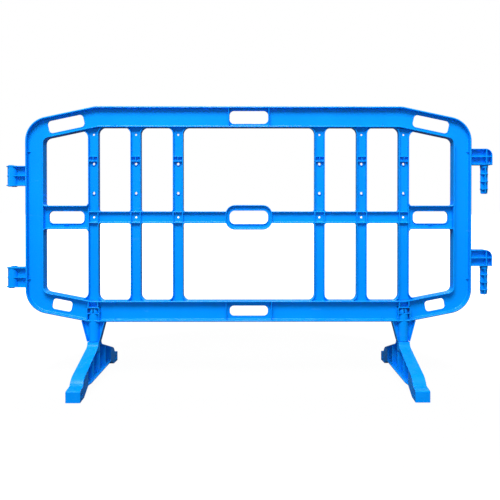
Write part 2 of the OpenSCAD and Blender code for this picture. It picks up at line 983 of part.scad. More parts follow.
// A foot with the split snap stem that clips over the post's rim
module foot(side) {
  lip_low = post_rim + play;
  lip_h = 6;
  dome_h = snap_window_h - lip_h - 2 * play;
  slot_h = post_rim - post_low;
  color(blue)
    translate([panel_shift + side * post_x, 0, 0]) {
      foot_leg();
      translate([0, 0, neck_h - column_drop + 2 * foot_t])
        cylinder(h = column_drop - 2 * foot_t, d = strap_w);
      translate([0, 0, neck_h - column_drop])
        cylinder(h = 2 * foot_t, d1 = strap_w - 4 * foot_t, d2 = strap_w);
      difference() {
        union() {
          translate([0, 0, neck_h - past])
            cylinder(h = lip_low - neck_h + past, r = stem_r);
          translate([0, 0, lip_low])
            cylinder(h = lip_h, r = snap_r);
          translate([0, 0, lip_low + lip_h])
            cylinder(h = dome_h, r1 = snap_r, r2 = snap_r / 2);
        }
        translate([0, 0, lip_low + lip_h + dome_h - slot_h / 2 + past])
          cube([snap_slot, post_od, slot_h], center = true);
      }
    }
}

module left_foot() {
  foot(-1);
}

module right_foot() {
  foot(1);
}

top_left_rail();
top_grip();
top_right_rail();
bottom_left_rail();
bottom_grip();
bottom_right_rail();
upper_left_corner();
upper_right_corner();
lower_left_corner();
lower_right_corner();
left_stile();
right_stile();
left_middle_rail();
centre_grip();
right_middle_rail();
left_grip();
right_grip();
bar(0, 1);  // upper_bar_1
bar(1, 1);  // upper_bar_2
bar(2, 1);  // upper_bar_3
bar(3, 1);  // upper_bar_4
bar(4, 1);  // upper_bar_5
bar(5, 1);  // upper_bar_6
bar(0, -1);  // lower_bar_1
bar(1, -1);  // lower_bar_2
bar(2, -1);  // lower_bar_3
bar(3, -1);  // lower_bar_4
bar(4, -1);  // lower_bar_5
bar(5, -1);  // lower_bar_6
upper_socket();
lower_socket();
upper_hook();
lower_hook();
upper_hook_pin();
lower_hook_pin();
left_post();
right_post();
left_foot();
right_foot();
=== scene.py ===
"""Looks of the pedestrian barrier panel: a blue moulding of H-section members on two swivelling feet.

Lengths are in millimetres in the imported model's frame, and become metres where a mesh is made.
The plastic lies to the left of every path that a section is carried along.
"""

import json
import math

import bmesh
import bpy
import numpy as np
from mathutils.geometry import tessellate_polygon
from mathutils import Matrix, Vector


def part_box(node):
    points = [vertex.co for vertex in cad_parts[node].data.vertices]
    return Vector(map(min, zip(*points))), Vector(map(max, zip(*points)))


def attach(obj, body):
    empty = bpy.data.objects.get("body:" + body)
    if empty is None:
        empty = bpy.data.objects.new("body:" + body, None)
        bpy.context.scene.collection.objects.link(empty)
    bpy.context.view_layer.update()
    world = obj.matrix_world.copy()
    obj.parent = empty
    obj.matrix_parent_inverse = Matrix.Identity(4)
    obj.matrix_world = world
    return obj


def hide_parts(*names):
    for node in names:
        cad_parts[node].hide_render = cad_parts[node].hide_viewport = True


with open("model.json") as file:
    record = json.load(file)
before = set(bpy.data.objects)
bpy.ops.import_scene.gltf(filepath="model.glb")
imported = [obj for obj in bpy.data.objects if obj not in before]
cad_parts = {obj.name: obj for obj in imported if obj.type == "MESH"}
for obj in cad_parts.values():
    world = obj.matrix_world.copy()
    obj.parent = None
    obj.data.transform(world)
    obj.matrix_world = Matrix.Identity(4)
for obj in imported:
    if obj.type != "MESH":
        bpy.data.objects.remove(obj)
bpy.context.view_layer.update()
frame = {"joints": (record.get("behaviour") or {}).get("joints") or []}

# The two axes that an outline is drawn in, and the axis of its depth
FRONT, PLAN, SIDE = (0, 2, 1), (0, 1, 2), (1, 2, 0)

# Walls of the moulding
WEB_T, FLANGE_T, OUTER_FLANGE_T, WINDOW_FLANGE_T, RIB_T, WALL_T = 4.0, 4.5, 7.4, 5.5, 3.0, 4.0
TIP_T, ROOT_R = 4.0, 3.5
RIM_R, THIN_RIM_R = 1.1, 0.6
LAP = 2.2  # how far a web reaches into the flange round it
SHARP_ANGLE = math.radians(50)  # edges that turn by more than this are shaded sharp

# A flange narrows by its draft towards the tip; its roundings are shares of its thickness
FLANGE_DRAFT, TIP_ROUND, FLANGE_CROWN, OUTER_CROWN = 0.5, 0.32, 0.45, 0.6

# Bends and corners of the frame
UPPER_SLOPE, UPPER_SLOPE_IN = math.radians(12), 10.0
LOWER_SLOPE, LOWER_SLOPE_OUT = math.radians(11), 14.0
SLOPE_R = 80.0
CORNER_R, WINDOW_R = 100.0, 25.0
BAR_FILLET, CROSS_FILLET = 27.0, 8.0

# Hand-holes as width, height and corner radius
TOP_HOLE, BOTTOM_HOLE = (160.0, 53.0, 19.0), (158.0, 41.5, 17.0)
TOP_RIB_GAP, BOTTOM_RIB_GAP = 1.0, 13.0
UPPER_HOLE, UPPER_ALONG = (150.0, 51.0, 16.0), 136.0
LOWER_HOLE, LOWER_ALONG = (81.0, 44.0, 13.0), 128.0
SIDE_HOLE, CENTRE_HOLE, CENTRE_GRIP_R = (145.0, 50.0, 17.0), (159.0, 55.0, 21.0), 40.0
HOLE_BEAD_W, HOLE_BEAD_D, HOLE_BEAD_R = 3.4, 6.5, 1.6
LIP_W, LIP_D = 3.0, 12.0
PAD_HALF_L, PAD_RISE = 10.0, 5.0  # the thick spot in the middle of a side grip's lip

# Pointed stays between the frame's flanges and its web
STAY_L, STAY_IN, STAY_BACK, STILE_STAY = 16.0, 16.0, 0.5, 54.0

# Round holes in the bars
TIE_R, TIE_DROP = 4.0, 29.0
BOLT_R, BOLT_RISE, BOSS_D, BOSS_W, BOSS_RIM_R = 5.5, 75.0, 11.0, 2.8, 0.9
CELL_RISE, CELL_H, CELL_T = 9.0, 15.6, 4.0

# Links
HOOK_R, HOOK_RIB_SHIFT = 28.0, 3.5
PIN_ROOT_H, DISC_PITCH = 12.0, 31.0
BLADE_HALF, BLADE_TIP_HALF, BLADE_TAPER_L, BLADE_TIP_R, BLADE_RIM_R = 15.6, 13.8, 20.0, 5.0, 0.9
SOCKET_PLATE_R, BARREL_R, SOCKET_BORE, COLLAR_H = 24.25, 19.75, 16.5, 3.5


def unit(v):
    """A vector divided by its length."""
    return v / np.linalg.norm(v)


def node_box(node):
    """Lowest and highest corner of a CAD node, in millimetres."""
    return np.array(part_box(node)) * 1000


def arc(centre, r, start, end, steps=8):
    """Points of a circle from one angle to another in degrees: centre + r (cos, sin)."""
    angle = np.radians(np.linspace(start, end, steps + 1))
    return np.array(centre) + r * np.stack([np.cos(angle), np.sin(angle)], -1)


def round_hole(centre, r):
    """A circle run clockwise, so that the plastic lies outside it."""
    return arc(centre, r, 360, 0, 32)[:-1]


def rounded(points, radii, steps=12):
    """A polygon whose corners are arcs. An arc touches both edges at r / tan(half the corner's angle)
    from the corner, and its centre lies at r / sin(half the angle) on the bisector."""
    points = np.array(points, float)
    made = []
    for i, (corner, r) in enumerate(zip(points, np.broadcast_to(radii, len(points)))):
        if r <= 0:
            made.append(corner[None])
            continue
        u, v = unit(points[i - 1] - corner), unit(points[(i + 1) % len(points)] - corner)
        half = math.acos(np.clip(u @ v, -1, 1)) / 2
        centre = corner + unit(u + v) * r / math.sin(half)
        start = corner + u * r / math.tan(half) - centre
        turn = np.sign(u[1] * v[0] - u[0] * v[1]) * (180 - 2 * math.degrees(half))
        first = math.degrees(math.atan2(start[1], start[0]))
        made.append(arc(centre, r, first, first + turn, steps))
    return np.concatenate(made)


def box_points(w, h, centre=(0, 0)):
    """The corners of a rectangle, counter-clockwise."""
    return np.array(centre) + np.array([(-w, -h), (w, -h), (w, h), (-w, h)]) / 2


def hand_hole(size, centre, angle=0.0):
    """A round-cornered rectangle turned by an angle about its centre, run clockwise."""
    w, h, r = size
    points = rounded(box_points(w, h), r)[::-1]
    turn = np.array([(math.cos(angle), math.sin(angle)), (-math.sin(angle), math.cos(angle))])
    return points @ turn + centre


def inset(points, depths):
    """A polygon whose edges are moved inwards: each new corner is where the two moved lines cross."""
    points = np.array(points, float)
    depths = np.broadcast_to(depths, len(points))
    edge = np.roll(points, -1, 0) - points
    v = edge / np.linalg.norm(edge, axis=1, keepdims=True)
    u = np.roll(v, 1, 0)
    p = points + np.roll(depths, 1)[:, None] * np.stack([-u[:, 1], u[:, 0]], -1)
    q = points + depths[:, None] * np.stack([-v[:, 1], v[:, 0]], -1)
    gap = q - p
    along = (gap[:, 0] * v[:, 1] - gap[:, 1] * v[:, 0]) / (u[:, 0] * v[:, 1] - u[:, 1] * v[:, 0])
    return p + along[:, None] * u


def leftward(path, closed):
    """The offset to the left at each point: the mean normal of the two edges that meet there,
    over the cosine of half their turn."""
    edge = np.roll(path, -1, 0) - path
    if not closed:
        edge[-1] = edge[-2]
    edge = edge / np.linalg.norm(edge, axis=1, keepdims=True)
    before = np.roll(edge, 1, 0)
    if not closed:
        before[0] = edge[0]
    mean = edge + before
    mean = mean / np.linalg.norm(mean, axis=1, keepdims=True)
    return np.stack([-mean[:, 1], mean[:, 0]], -1) / np.sum(mean * edge, 1)[:, None]


def flange_section(depth, thick=FLANGE_T, crown=FLANGE_CROWN):
    """Half a flange is an outer face, a round tip, an inner face with draft and a fillet to the web,
    and its mirror image follows. Crown is the outer rounding as a share of the thickness.
    The columns are the distance from the edge, the depth, and the edge mask for rubbing and painted
    highlight, which is all on the tip."""
    half, tip, r, outer_r = depth / 2, thick - FLANGE_DRAFT, TIP_ROUND * thick, crown * thick
    steps = 4
    upper = np.concatenate([
        arc((outer_r, half - outer_r), outer_r, 180, 90, steps),
        arc((tip - r, half - r), r, 90, 0, steps),
        arc((thick + ROOT_R, WEB_T / 2 + ROOT_R), ROOT_R, 180, 270, steps),
    ])
    wear = np.repeat([1.0, 0.0], [2 * (steps + 1), steps + 1])
    upper = np.column_stack([upper, wear])
    return np.concatenate([upper, upper[::-1] * (1, -1, 1)])


def bead_section(near, far, depth, r=RIM_R):
    """A round-cornered rectangle between two distances from the path, with rubbing and painted highlight on
    its corners.
    """
    loop = rounded(box_points(far - near, depth, ((near + far) / 2, 0)), r, 3)
    return np.column_stack([loop, np.ones(len(loop))])


def place(flat, depth, axes):
    """Points of an outline with their depth, on the axes given."""
    made = np.empty(flat.shape[:-1] + (3,))
    made[..., axes[0]] = flat[..., 0]
    made[..., axes[1]] = flat[..., 1]
    made[..., axes[2]] = depth
    return made


class Moulding:
    """A piece in the making: closed skins of points and faces, with the edge mask of every point for rubbing
    and painted highlight.
    """

    def __init__(self):
        self.points, self.wear, self.faces, self.count = [], [], [], 0

    def add(self, points, wear):
        """Takes an array of points and gives their numbers in the same order."""
        size = points[..., 0].size
        self.points.append(points.reshape(-1, 3))
        self.wear.append(np.broadcast_to(wear, points.shape[:-1]).ravel())
        self.count += size
        return np.arange(self.count - size, self.count).reshape(points.shape[:-1])

    def quads(self, index, rows_close, columns_close):
        """Joins each point of a grid to the next in its row and its column."""
        if rows_close:
            index = np.concatenate([index, index[:1]])
        if columns_close:
            index = np.concatenate([index, index[:, :1]], 1)
        near, far = index[:-1], index[1:]
        faces = np.stack([near[:, :-1], far[:, :-1], far[:, 1:], near[:, 1:]], -1)
        self.faces += faces.reshape(-1, 4).tolist()

    def skin(self, points, wear, ring):
        """A grid whose rows are closed sections. A ring joins the last row to the first,
        and otherwise both are capped."""
        index = self.add(points, wear)
        self.quads(index, ring, True)
        if not ring:
            self.faces += [index[0].tolist(), index[-1].tolist()]

    def carry(self, path, section, closed=False, axes=FRONT, reach=None):
        """A section carried along a path: path + distance * leftward, raised by the section's depth.
        Reach is half the section's depth at each point of the path, where it changes."""
        path = np.asarray(path, float)
        flat = path[:, None] + section[None, :, :1] * leftward(path, closed)[:, None]
        depth = section[None, :, 1]
        if reach is not None:
            depth = depth + np.sign(depth) * (reach[:, None] - depth.max())
        self.skin(place(flat, depth, axes), section[:, 2], closed)

    def slab(self, outline, holes, low, high, r=RIM_R, axes=FRONT, reach=None):
        """A plate with round rims: a quarter circle at both faces is carried round the outline and every
        hole, and flat faces close it. Where the thickness changes, reach gives half of it over the
        outline's first axis."""
        turn = np.radians(np.linspace(0, 90, 4))
        quarter = np.stack([r - r * np.sin(turn), low + r - r * np.cos(turn)], -1)
        rim = np.concatenate([quarter, ((0, low + high) + quarter * (1, -1))[::-1]])
        wear = np.array([0.0, 1.0, 1.0, 0.5])
        wear = np.concatenate([wear, wear[::-1]])
        loops, rims = [], []
        for path in [outline, *holes]:
            path = np.asarray(path, float)
            flat = path[:, None] + rim[None, :, :1] * leftward(path, True)[:, None]
            depth = rim[None, :, 1]
            if reach is not None:
                depth = depth + np.sign(depth) * (reach(flat[..., 0]) - high)
            index = self.add(place(flat, depth, axes), wear)
            self.quads(index, True, False)
            loops.append(flat[:, 0])
            rims.append(index)
        level = [np.column_stack([loop, np.zeros(len(loop))]).tolist() for loop in loops]
        cut = np.array(tessellate_polygon(level))
        for side in (0, -1):
            self.faces += np.concatenate([index[:, side] for index in rims])[cut].tolist()

    def turned(self, section, centre, wear=0.0, tube=False, steps=48):
        """A section of radius and height turned round an upright axis: centre + r (cos, sin)."""
        angle = np.radians(np.arange(steps) * 360 / steps)
        r, z = np.asarray(section, float).T
        flat = np.array(centre) + r[:, None, None] * np.stack([np.cos(angle), np.sin(angle)], -1)
        points = place(flat, z[:, None], PLAN)
        self.skin(points.swapaxes(0, 1) if tube else points, wear, tube)

    def rib(self, start, end, thick, depth, axes=FRONT):
        """A straight rib with round edges, centred on a line."""
        section = bead_section(-thick / 2, thick / 2, depth, min(RIM_R, thick / 3))
        self.carry(np.array([start, end]), section, axes=axes)

    def stay(self, base, d, depth, at, axes):
        """A pointed stay: a thin triangle that stands on a flange and narrows in the direction d
        from nearly the full depth to a point."""
        half = depth / 2 - STAY_BACK
        outline = np.array([(base, d * half), (base, -d * half), (base + d * STAY_L, 0)])
        if axes == SIDE:
            outline = outline[:, ::-1] * (-1, 1)
        self.slab(outline, [], at - RIB_T / 2, at + RIB_T / 2, THIN_RIM_R, axes)

    def finish(self, name, body, material, slot, x, nodes):
        """Makes the mesh in metres, moved along X, and puts it on its body in place of the CAD nodes."""
        mesh = bpy.data.meshes.new(name)
        mesh.from_pydata((np.concatenate(self.points) + (x, 0, 0)) / 1000, [], self.faces)
        # The edge mask: it marks rubbed edges, and the material also paints a highlight on them.
        wear_and_sheen_layer = mesh.attributes.new("wear", "FLOAT", "POINT")
        wear_and_sheen_layer.data.foreach_set("value", np.concatenate(self.wear).astype(np.float32))
        work = bmesh.new()
        work.from_mesh(mesh)
        bmesh.ops.recalc_face_normals(work, faces=work.faces)
        work.to_mesh(mesh)
        work.free()
        mesh.shade_smooth()
        mesh.set_sharp_from_angle(angle=SHARP_ANGLE)
        mesh.materials.append(material)
        piece = bpy.data.objects.new(name, mesh)
        bpy.context.scene.collection.objects.link(piece)
        even = piece.modifiers.new("even_shading", "WEIGHTED_NORMAL")
        even.keep_sharp = True
        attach(piece, body)
        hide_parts(*nodes)
        return piece


class Shade:
    """A socket of a material's nodes: operators add Math nodes, and node() adds any other."""

    def __init__(self, tree, socket=None):
        self.tree, self.socket = tree, socket

    def node(self, kind, settings=None, inputs=None, output=0):
        """Adds a node of a kind: its settings, then the values or links of its sockets."""
        made = self.tree.nodes.new(kind)
        for name, value in (settings or {}).items():
            setattr(made, name, value)
        for name, value in (inputs or {}).items():
            if isinstance(value, Shade):
                self.tree.links.new(value.socket, made.inputs[name])
            else:
                made.inputs[name].default_value = value
        return Shade(self.tree, made.outputs[output])

    def maths(self, operation, a, b=0.0, clamp=False):
        """One Math node on two values."""
        return self.node("ShaderNodeMath", {"operation": operation, "use_clamp": clamp}, {0: a, 1: b})

    def __add__(self, other):
        return self.maths("ADD", self, other)

    def __sub__(self, other):
        return self.maths("SUBTRACT", self, other)

    def __rsub__(self, other):
        return self.maths("SUBTRACT", other, self)

    def __mul__(self, other):
        return self.maths("MULTIPLY", self, other)

    def __abs__(self):
        return self.maths("ABSOLUTE", self)

    __radd__, __rmul__ = __add__, __mul__

    def between(self, low, high):
        """0 below low and 1 above high, with a straight rise between."""
        return self.maths("MULTIPLY", self - low, 1 / (high - low), True)

    def tint(self, amount, colour):
        """This colour mixed towards another by an amount."""
        return self.node("ShaderNodeMix", {"data_type": "RGBA"}, {0: amount, 6: self, 7: colour}, 2)

    def noise(self, scale, detail=2.0, stretch=None):
        """Soft noise of this vector, 0 to 1, finer along an axis where stretch is large."""
        at = self if stretch is None else self.node(
            "ShaderNodeVectorMath", {"operation": "MULTIPLY"}, {0: self, 1: stretch})
        return self.node("ShaderNodeTexNoise", {}, {"Vector": at, "Scale": scale, "Detail": detail}, "Fac")


# The first colour paints rubbed edges, the parting line and a painted highlight along edges; the second is
# dust.
PALE_RUB_AND_SHEEN, DUSTY = (0.02, 0.45, 1.0, 1), (0.35, 0.60, 0.85, 1)
DEEPER = 0.86  # the darkest pigment cloud, as a share of the colour


def moulded_plastic(name, colour):
    """Satin moulded plastic: cloudy pigment and faint flow streaks in the colour, a fine eroded grain in
    the bump, a witness line where the mould parts on the mid-plane, edges painted slightly paler, partly
    as rubbing and partly as a painted highlight, and a little dust on faces that look up."""
    material = bpy.data.materials.new(name)
    material.use_nodes = True
    tree = material.node_tree
    surface = tree.nodes["Principled BSDF"]
    at = Shade(tree).node("ShaderNodeTexCoord", output="Object")
    facing = Shade(tree).node("ShaderNodeNewGeometry", output="Normal")
    # The edge mask, used for rubbing and for a painted highlight.
    edge = Shade(tree).node("ShaderNodeAttribute", {"attribute_name": "wear"}, output="Fac")

    clouds = at.noise(4.0, 3.0)
    streaks = at.noise(7.0, 4.0, (1.0, 1.0, 0.15))
    grain = at.noise(1400.0, 2.0)
    scuffs = at.noise(30.0, 6.0, (0.3, 1.0, 1.0)).between(0.64, 0.80)
    # Edges picked out by the mask and broken up by noise: partly rubbing, partly a painted highlight.
    rub_and_sheen = edge * at.noise(45.0, 4.0).between(0.40, 0.68)

    depth = at.node("ShaderNodeSeparateXYZ", {}, {0: at}, "Y")
    across = facing.node("ShaderNodeSeparateXYZ", {}, {0: facing}, "Y")
    seam = (1 - abs(depth).between(0.0002, 0.0006)) * (1 - abs(across).between(0.3, 0.6))
    up = facing.node("ShaderNodeSeparateXYZ", {}, {0: facing}, "Z")
    dust = up.between(0.5, 0.95) * at.noise(22.0, 3.0).between(0.42, 0.75)

    deep = tuple(DEEPER * c for c in colour)
    pigment = (clouds * 0.65 + streaks * 0.35).between(0.3, 0.7)
    base = at.node("ShaderNodeMix", {"data_type": "RGBA"}, {0: pigment, 6: (*deep, 1), 7: (*colour, 1)}, 2)
    # Edges and the parting line tinted paler; on edges this is partly a painted highlight.
    base = base.tint(rub_and_sheen * 0.05 + seam * 0.06, PALE_RUB_AND_SHEEN)
    base = base.tint(scuffs * 0.04 + dust * 0.03, DUSTY)
    tree.links.new(base.socket, surface.inputs["Base Color"])

    rough = 0.20 + clouds * 0.06 + streaks * 0.04 + scuffs * 0.10 + dust * 0.06 - rub_and_sheen * 0.02
    tree.links.new(rough.socket, surface.inputs["Roughness"])
    height = grain * 0.15 + streaks * 0.5 + seam * 1.6 - scuffs * 0.4
    bump = at.node("ShaderNodeBump", {}, {"Strength": 0.25, "Distance": 0.0002, "Height": height}, "Normal")
    tree.links.new(bump.socket, surface.inputs["Normal"])
    surface.inputs["IOR"].default_value = 1.49
    surface.inputs["Specular IOR Level"].default_value = 0.18
    return material


# Places and sizes read from the CAD frame
left_stile, right_stile = node_box("left_stile"), node_box("right_stile")
centre_x = (left_stile[0, 0] + right_stile[1, 0]) / 2
half_w = (right_stile[1, 0] - left_stile[0, 0]) / 2
stile_in = right_stile[0, 0] - centre_x
frame_d = np.ptp(right_stile[:, 1])
rail_in_top, panel_top = node_box("top_grip")[:, 2]
ground_clear, rail_in_low = node_box("bottom_grip")[:, 2]
rail_h = panel_top - rail_in_top
middle_box = node_box("right_middle_rail")
middle_low, middle_top = middle_box[:, 2]
middle_z = (middle_low + middle_top) / 2
bar_d = np.ptp(middle_box[:, 1])
bar_out = middle_box[1, 0] - centre_x
bar_inner = node_box("upper_bar_4")[:, 0].mean() - centre_x
bar_pitch = node_box("upper_bar_5")[:, 0].mean() - centre_x - bar_inner
post_x = bar_inner + 2 * bar_pitch
bar_w = 2 * (bar_out - post_x)
bar_x = [-post_x, -bar_inner - bar_pitch, -bar_inner, bar_inner, bar_inner + bar_pitch, post_x]

upper_slope_x, lower_slope_x = post_x - UPPER_SLOPE_IN, post_x + LOWER_SLOPE_OUT
upper_fall = (half_w - upper_slope_x) * math.tan(UPPER_SLOPE)
lower_fall = (half_w - lower_slope_x) * math.tan(LOWER_SLOPE)
frame_outer = np.array([
    (-lower_slope_x, ground_clear), (lower_slope_x, ground_clear),
    (half_w, ground_clear + lower_fall), (half_w, panel_top - upper_fall),
    (upper_slope_x, panel_top), (-upper_slope_x, panel_top),
    (-half_w, panel_top - upper_fall), (-half_w, ground_clear + lower_fall),
])
stile_w = half_w - stile_in
frame_inner = inset(frame_outer, [rail_h, rail_h, stile_w, rail_h, rail_h, rail_h, stile_w, rail_h])
outer_radii = np.array([SLOPE_R, SLOPE_R, CORNER_R, CORNER_R] * 2)
inner_radii = np.array([0, 0, WINDOW_R, WINDOW_R] * 2)
upper_bend, lower_bend = frame_inner[4, 0], frame_inner[1, 0]

upper_link, lower_link = node_box("upper_hook")[0, 2], node_box("lower_hook")[0, 2]

panel_plastic = moulded_plastic("panel_plastic", (0.0, 0.285, 0.96))
foot_plastic = moulded_plastic("foot_plastic", (0.0, 0.275, 0.96))


def panel_piece(moulding, name, *nodes):
    """A finished piece of the panel."""
    return moulding.finish(name, "panel", panel_plastic, "panel_plastic", centre_x, nodes)


def slope_hole(side, end, size, along):
    """A hand-hole on the middle of a sloping rail end."""
    slope = UPPER_SLOPE if end > 0 else LOWER_SLOPE
    s = np.array([side * math.cos(slope), -end * math.sin(slope)])
    t = np.array([-side * math.sin(slope), -end * math.cos(slope)])
    corner = np.array([side * upper_slope_x, panel_top] if end > 0 else [side * lower_slope_x, ground_clear])
    return hand_hole(size, corner + along * s + rail_h / 2 * t, -side * end * slope)


# Foot posts: the tube, the snap window over its rim, and the gussets' half widths and depth
post_low = node_box("right_post")[0, 2]
POST_R, POST_BORE, POST_RIM, WINDOW_H = 22.5, 18.5, 36.0, 21.0
GUSSET_FOOT, GUSSET_TOP, GUSSET_D = 25.5, 48.5, 40.0
post_rim = ground_clear + POST_RIM
window_top = post_rim + WINDOW_H


def outer_frame():
    """The rails, corners and stiles: one flange carried round the outer edge, one round the window's edge,
    and a web with hand-holes between them."""
    made = Moulding()
    outer_flange = flange_section(frame_d, OUTER_FLANGE_T, OUTER_CROWN)
    made.carry(rounded(frame_outer, outer_radii, 20), outer_flange, True)
    window_flange = flange_section(frame_d, WINDOW_FLANGE_T)
    made.carry(rounded(frame_inner, inner_radii, 16)[::-1], window_flange, True)
    holes = [
        hand_hole(TOP_HOLE, (0, (rail_in_top + panel_top) / 2)),
        hand_hole(BOTTOM_HOLE, (0, (ground_clear + rail_in_low) / 2)),
    ]
    for side in (-1, 1):
        holes.append(slope_hole(side, 1, UPPER_HOLE, UPPER_ALONG))
        holes.append(slope_hole(side, -1, LOWER_HOLE, LOWER_ALONG))
    bead = bead_section(-0.2, HOLE_BEAD_W, HOLE_BEAD_D, HOLE_BEAD_R)
    for hole in holes:
        made.carry(hole, bead, True)
    window_z = post_rim + WINDOW_H / 2
    snap_windows = [box_points(2 * POST_R, WINDOW_H, (side * post_x, window_z))[::-1] for side in (-1, 1)]
    outline = rounded(inset(frame_outer, LAP), outer_radii - LAP, 20)
    window = rounded(inset(frame_inner, -LAP), np.where(inner_radii > 0, inner_radii + LAP, 0), 16)[::-1]
    made.slab(outline, [window, *holes, *snap_windows], -WEB_T / 2, WEB_T / 2)
    for low, high, hole, gap in (
            (rail_in_top, panel_top, TOP_HOLE, TOP_RIB_GAP),
            (ground_clear, rail_in_low, BOTTOM_HOLE, BOTTOM_RIB_GAP)):
        for side in (-1, 1):
            x = side * (hole[0] / 2 + gap + RIB_T / 2)
            made.rib((x, low + TIP_T / 2), (x, high - TIP_T / 2), RIB_T, frame_d - 1)
    between = post_x - bar_pitch / 2
    flange = FLANGE_T / 2
    upright_stays = [
        (post_x - STAY_IN, panel_top - flange, -1), (post_x - bar_pitch - STAY_IN, panel_top - flange, -1),
        (between, rail_in_top + flange, 1), (between, rail_in_low - flange, -1),
        (between, ground_clear + flange, 1)]
    for side in (-1, 1):
        for x, z, d in upright_stays:
            made.stay(z, d, frame_d, side * x, SIDE)
        for z in (upper_link + STILE_STAY, lower_link - STILE_STAY):
            made.stay(side * (half_w - flange), -side, frame_d, z, PLAN)
    nodes = ["top_left_rail", "top_grip", "top_right_rail",
             "bottom_left_rail", "bottom_grip", "bottom_right_rail",
             "upper_left_corner", "upper_right_corner", "lower_left_corner", "lower_right_corner",
             "left_stile", "right_stile"]
    return panel_piece(made, "outer_frame", *nodes)


def middle_rail(side, name):
    """Half of the middle rail: a flange along its lower and its upper edge, a web, and the bars' flanges
    crossing it."""
    made = Moulding()
    grip = np.ptp(node_box("centre_grip")[:, 0]) / 2
    x0, x1 = sorted((side * (grip - LAP), side * bar_out))
    section = flange_section(bar_d)
    made.carry([(x0, middle_low), (x1, middle_low)], section)
    made.carry([(x1, middle_top), (x0, middle_top)], section)
    bars = [x for x in bar_x if x * side > 0]
    web = box_points(x1 - x0, middle_top - middle_low - 2 * LAP, ((x0 + x1) / 2, middle_z))
    made.slab(web, [round_hole((x, middle_z), TIE_R) for x in bars], -WEB_T / 2, WEB_T / 2)
    for x in bars:
        for edge in (-1, 1):
            at = x + edge * (bar_w - FLANGE_T) / 2
            made.rib((at, middle_low + TIP_T / 2), (at, middle_top - TIP_T / 2),
                     FLANGE_T - FLANGE_DRAFT, bar_d - 0.2)
    return panel_piece(made, name + "_moulding", name)


def centre_grip():
    """The grip in the middle: a flange round its outline, a web and a lip round its hand-hole."""
    made = Moulding()
    low, high = node_box("centre_grip")
    w, h = high[0] - low[0], high[2] - low[2]
    made.carry(rounded(box_points(w, h, (0, middle_z)), CENTRE_GRIP_R), flange_section(bar_d), True)
    hole = hand_hole(CENTRE_HOLE, (0, middle_z))
    web = rounded(box_points(w - 2 * LAP, h - 2 * LAP, (0, middle_z)), CENTRE_GRIP_R - LAP)
    made.slab(web, [hole], -WEB_T / 2, WEB_T / 2)
    made.carry(hole, bead_section(-0.2, LIP_W, LIP_D), True)
    return panel_piece(made, "centre_grip_moulding", "centre_grip")


def side_grip(name):
    """The grip beside a stile: flanges that sweep into the stile and the bar, a web, and a lip round its
    hand-hole that is thicker in the middle."""
    made = Moulding()
    low, high = node_box(name)
    x0, x1 = low[0] - centre_x, high[0] - centre_x
    r = CROSS_FILLET
    z0, z1 = low[2] + r, high[2] - r
    section = flange_section(frame_d)
    sweep = [0, r - 0.01, r - 0.01, 0]
    made.carry(rounded([(x1, z1 + r), (x1, z1), (x0, z1), (x0, z1 + r)], sweep), section)
    made.carry(rounded([(x0, z0 - r), (x0, z0), (x1, z0), (x1, z0 - r)], sweep), section)
    centre = ((x0 + x1) / 2, middle_z)
    hole = hand_hole(SIDE_HOLE, centre)
    made.slab(box_points(x1 - x0 + 2 * LAP, z1 - z0 - 2 * LAP, centre), [hole], -WEB_T / 2, WEB_T / 2)
    made.carry(hole, bead_section(-0.2, LIP_W, LIP_D), True)
    for end in (-1, 1):
        z = middle_z + end * (SIDE_HOLE[1] / 2 + 0.7 * LIP_W)
        made.rib((centre[0] - PAD_HALF_L, z), (centre[0] + PAD_HALF_L, z), 1.6 * LIP_W, LIP_D + PAD_RISE)
    return panel_piece(made, name + "_moulding", name)


def bar_edge(x, d, up):
    """One edge of a bar: an arc out of the middle rail, a straight run, and a wider arc that meets the
    rail at a tangent. It is drawn for the right edge of an upper bar, and d and up turn it to the
    other three."""
    facing = abs(x) > post_x - 1 and d * x > 0
    slope = (UPPER_SLOPE if up > 0 else LOWER_SLOPE) if facing else 0.0
    edge, r = d * x + bar_w / 2, BAR_FILLET
    level = rail_in_top if up > 0 else -rail_in_low
    start = middle_top if up > 0 else -middle_low
    bend = upper_bend if up > 0 else lower_bend
    top = level - (edge + r - bend) * math.tan(slope) - r / math.cos(slope)
    foot = np.array([(edge, start)]) if facing else arc(
        (edge + CROSS_FILLET, start + CROSS_FILLET), CROSS_FILLET, 270, 180)
    path = np.concatenate([foot, arc((edge + r, top), r, 180, 90 - math.degrees(slope), 10)]) * (d, up)
    return path if d * up > 0 else path[::-1]


def bar(i, up, name):
    """An upright bar: a flange down each edge and a web. The upper bars have round holes in it and a
    small ribbed cell."""
    made = Moulding()
    x = bar_x[i]
    section = flange_section(bar_d)
    outline, holes = [], []
    end_lap = 1.6 * LAP
    for d in (up, -up):
        path = bar_edge(x, d, up)
        left = leftward(path, False)
        made.carry(path, section)
        outline += [path[:1] + end_lap * left[:1], path + LAP * left, path[-1:] + end_lap * left[-1:]]
    if up > 0:
        tie, low_bolt = rail_in_top - TIE_DROP, middle_top + BOLT_RISE
        high_bolt = (tie + low_bolt) / 2
        bolt_holes = [round_hole((x, z), BOLT_R) for z in (high_bolt, low_bolt)]
        holes = [round_hole((x, tie), TIE_R), *bolt_holes]
        for hole in bolt_holes:
            made.carry(hole, bead_section(-0.1, BOSS_W, BOSS_D, BOSS_RIM_R), True)
        floor = high_bolt + CELL_RISE + CELL_T / 2
        reach = bar_w / 2 - TIP_T / 2
        for z in (floor, floor + CELL_H + CELL_T):
            made.rib((x - reach, z), (x + reach, z), CELL_T, bar_d - 0.4)
        made.rib((x, floor), (x, floor + CELL_H + CELL_T), RIB_T, bar_d - 0.8)
    made.slab(np.concatenate(outline), holes, -WEB_T / 2, WEB_T / 2)
    return panel_piece(made, name + "_moulding", name)


